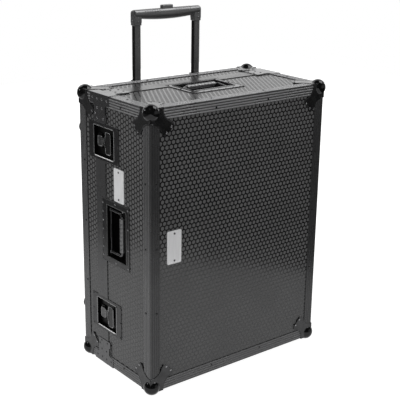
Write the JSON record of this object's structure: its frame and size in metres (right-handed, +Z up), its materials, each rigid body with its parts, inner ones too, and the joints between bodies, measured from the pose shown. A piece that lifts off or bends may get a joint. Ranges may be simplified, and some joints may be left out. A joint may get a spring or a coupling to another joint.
{
  "type": "flight case",
  "caption": "Upright flight case for a mixer: honeycomb laminate in ribbed angles with ball corners, butterfly latches, recessed handles, feet and a pull-out trolley handle.",
  "frame": {"origin": "middle of the footprint of the case standing on its short end, at the floor under the bottom ball corners", "axes": "+Z up towards the end with the top handle; -Y towards the lid's big panel; +Y towards the base's big panel, which carries the feet and the trolley; -X towards the side with the recessed handle"},
  "size_m": [0.636, 0.377, 1.0184],
  "materials": {
    "laminate": "black phenolic film with a pressed hexagon grain over plywood",
    "edge_aluminium": "black anodised aluminium angle with fine bright ribs",
    "black_steel": "black coated pressed steel, satin",
    "ball_steel": "black coated pressed steel, glossy",
    "black_plastic": "moulded black plastic, fine grain",
    "trolley_aluminium": "black anodised aluminium tube, satin",
    "rubber": "black rubber",
    "foam": "charcoal closed-cell foam"
  },
  "bodies": {
    "base": {"base_back_panel": "laminate", "base_walls": "laminate", "base_edge_frame": "edge_aluminium", "base_edge_strip": "edge_aluminium", "base_rim": "edge_aluminium", "base_foam": "foam", "base_ball_top_left": "ball_steel", "base_ball_top_right": "ball_steel", "base_ball_bottom_left": "ball_steel", "base_ball_bottom_right": "ball_steel", "base_brace_top_left": "black_steel", "base_brace_top_right": "black_steel", "base_brace_bottom_left": "black_steel", "base_brace_bottom_right": "black_steel", "foot_top_left": "rubber", "foot_top_right": "rubber", "foot_bottom_left": "rubber", "foot_bottom_right": "rubber", "trolley_guide": "black_plastic", "wheel_well_left": "black_plastic", "wheel_well_right": "black_plastic", "latch_left_upper_dish_base": "black_steel", "latch_left_lower_dish_base": "black_steel", "latch_right_upper_dish_base": "black_steel", "latch_right_lower_dish_base": "black_steel"},
    "lid": {"lid_front_panel": "laminate", "lid_walls": "laminate", "lid_edge_frame": "edge_aluminium", "lid_rim": "edge_aluminium", "lid_foam": "foam", "lid_ball_top_left": "ball_steel", "lid_ball_top_right": "ball_steel", "lid_ball_bottom_left": "ball_steel", "lid_ball_bottom_right": "ball_steel", "lid_brace_top_left": "black_steel", "lid_brace_top_right": "black_steel", "lid_brace_bottom_left": "black_steel", "lid_brace_bottom_right": "black_steel", "latch_left_upper_dish_lid": "black_steel", "latch_left_lower_dish_lid": "black_steel", "latch_right_upper_dish_lid": "black_steel", "latch_right_lower_dish_lid": "black_steel", "handle_side_dish": "black_steel", "handle_top_dish": "black_steel"},
    "trolley": {"trolley_tube_left": "trolley_aluminium", "trolley_tube_right": "trolley_aluminium", "trolley_grip": "black_plastic"},
    "trolley_button": {"trolley_button": "black_plastic"},
    "wheel_left": {"wheel_left": "rubber"},
    "wheel_right": {"wheel_right": "rubber"},
    "latch_left_upper_rotor": {"latch_left_upper_rotor": "black_steel"},
    "latch_left_upper_wing": {"latch_left_upper_wing": "black_steel"},
    "latch_left_lower_rotor": {"latch_left_lower_rotor": "black_steel"},
    "latch_left_lower_wing": {"latch_left_lower_wing": "black_steel"},
    "latch_right_upper_rotor": {"latch_right_upper_rotor": "black_steel"},
    "latch_right_upper_wing": {"latch_right_upper_wing": "black_steel"},
    "latch_right_lower_rotor": {"latch_right_lower_rotor": "black_steel"},
    "latch_right_lower_wing": {"latch_right_lower_wing": "black_steel"},
    "handle_side": {"handle_side_bail": "black_steel"},
    "handle_top": {"handle_top_bail": "black_steel"}
  },
  "joints": [
    {"name": "lid_lift_off", "type": "slide", "parent": "base", "child": "lid", "axis": [0, -1, 0], "range_m": [0, 0.25]},
    {"name": "trolley_slide", "type": "slide", "parent": "base", "child": "trolley", "axis": [0, 0, 1], "range_m": [-0.1555, 0]},
    {"name": "button_press", "type": "slide", "parent": "trolley", "child": "trolley_button", "axis": [0, 0, -1], "range_m": [0, 0.005], "stiffness_N_per_m": 400, "springref_m": -0.002},
    {"name": "wheel_left_turn", "type": "hinge", "parent": "base", "child": "wheel_left", "pos_m": [-0.195, 0.1585, 0.0275], "axis": [1, 0, 0], "continuous": true},
    {"name": "wheel_right_turn", "type": "hinge", "parent": "base", "child": "wheel_right", "pos_m": [0.195, 0.1585, 0.0275], "axis": [1, 0, 0], "continuous": true},
    {"name": "latch_left_upper_turn", "type": "hinge", "parent": "lid", "child": "latch_left_upper_rotor", "pos_m": [-0.307, 0.0355, 0.6794], "axis": [-1, 0, 0], "range_deg": [0, 180]},
    {"name": "latch_left_upper_wing_fold", "type": "hinge", "parent": "latch_left_upper_rotor", "child": "latch_left_upper_wing", "pos_m": [-0.3054, 0.0325, 0.6794], "axis": [0, 0, -1], "range_deg": [0, 90]},
    {"name": "latch_left_lower_turn", "type": "hinge", "parent": "lid", "child": "latch_left_lower_rotor", "pos_m": [-0.307, 0.0355, 0.1674], "axis": [-1, 0, 0], "range_deg": [0, 180]},
    {"name": "latch_left_lower_wing_fold", "type": "hinge", "parent": "latch_left_lower_rotor", "child": "latch_left_lower_wing", "pos_m": [-0.3054, 0.0325, 0.1674], "axis": [0, 0, -1], "range_deg": [0, 90]},
    {"name": "latch_right_upper_turn", "type": "hinge", "parent": "lid", "child": "latch_right_upper_rotor", "pos_m": [0.307, 0.0355, 0.6794], "axis": [-1, 0, 0], "range_deg": [0, 180]},
    {"name": "latch_right_upper_wing_fold", "type": "hinge", "parent": "latch_right_upper_rotor", "child": "latch_right_upper_wing", "pos_m": [0.3054, 0.0325, 0.6794], "axis": [0, 0, 1], "range_deg": [0, 90]},
    {"name": "latch_right_lower_turn", "type": "hinge", "parent": "lid", "child": "latch_right_lower_rotor", "pos_m": [0.307, 0.0355, 0.1674], "axis": [-1, 0, 0], "range_deg": [0, 180]},
    {"name": "latch_right_lower_wing_fold", "type": "hinge", "parent": "latch_right_lower_rotor", "child": "latch_right_lower_wing", "pos_m": [0.3054, 0.0325, 0.1674], "axis": [0, 0, 1], "range_deg": [0, 90]},
    {"name": "handle_side_lift", "type": "hinge", "parent": "lid", "child": "handle_side", "pos_m": [-0.298, 0.0215, 0.4299], "axis": [0, 0, -1], "range_deg": [0, 90], "stiffness_Nm_per_rad": 0.4, "springref_deg": -17.19},
    {"name": "handle_top_lift", "type": "hinge", "parent": "lid", "child": "handle_top", "pos_m": [0, -0.0475, 0.8014], "axis": [1, 0, 0], "range_deg": [0, 90], "stiffness_Nm_per_rad": 0.4, "springref_deg": -17.19}
  ]
}
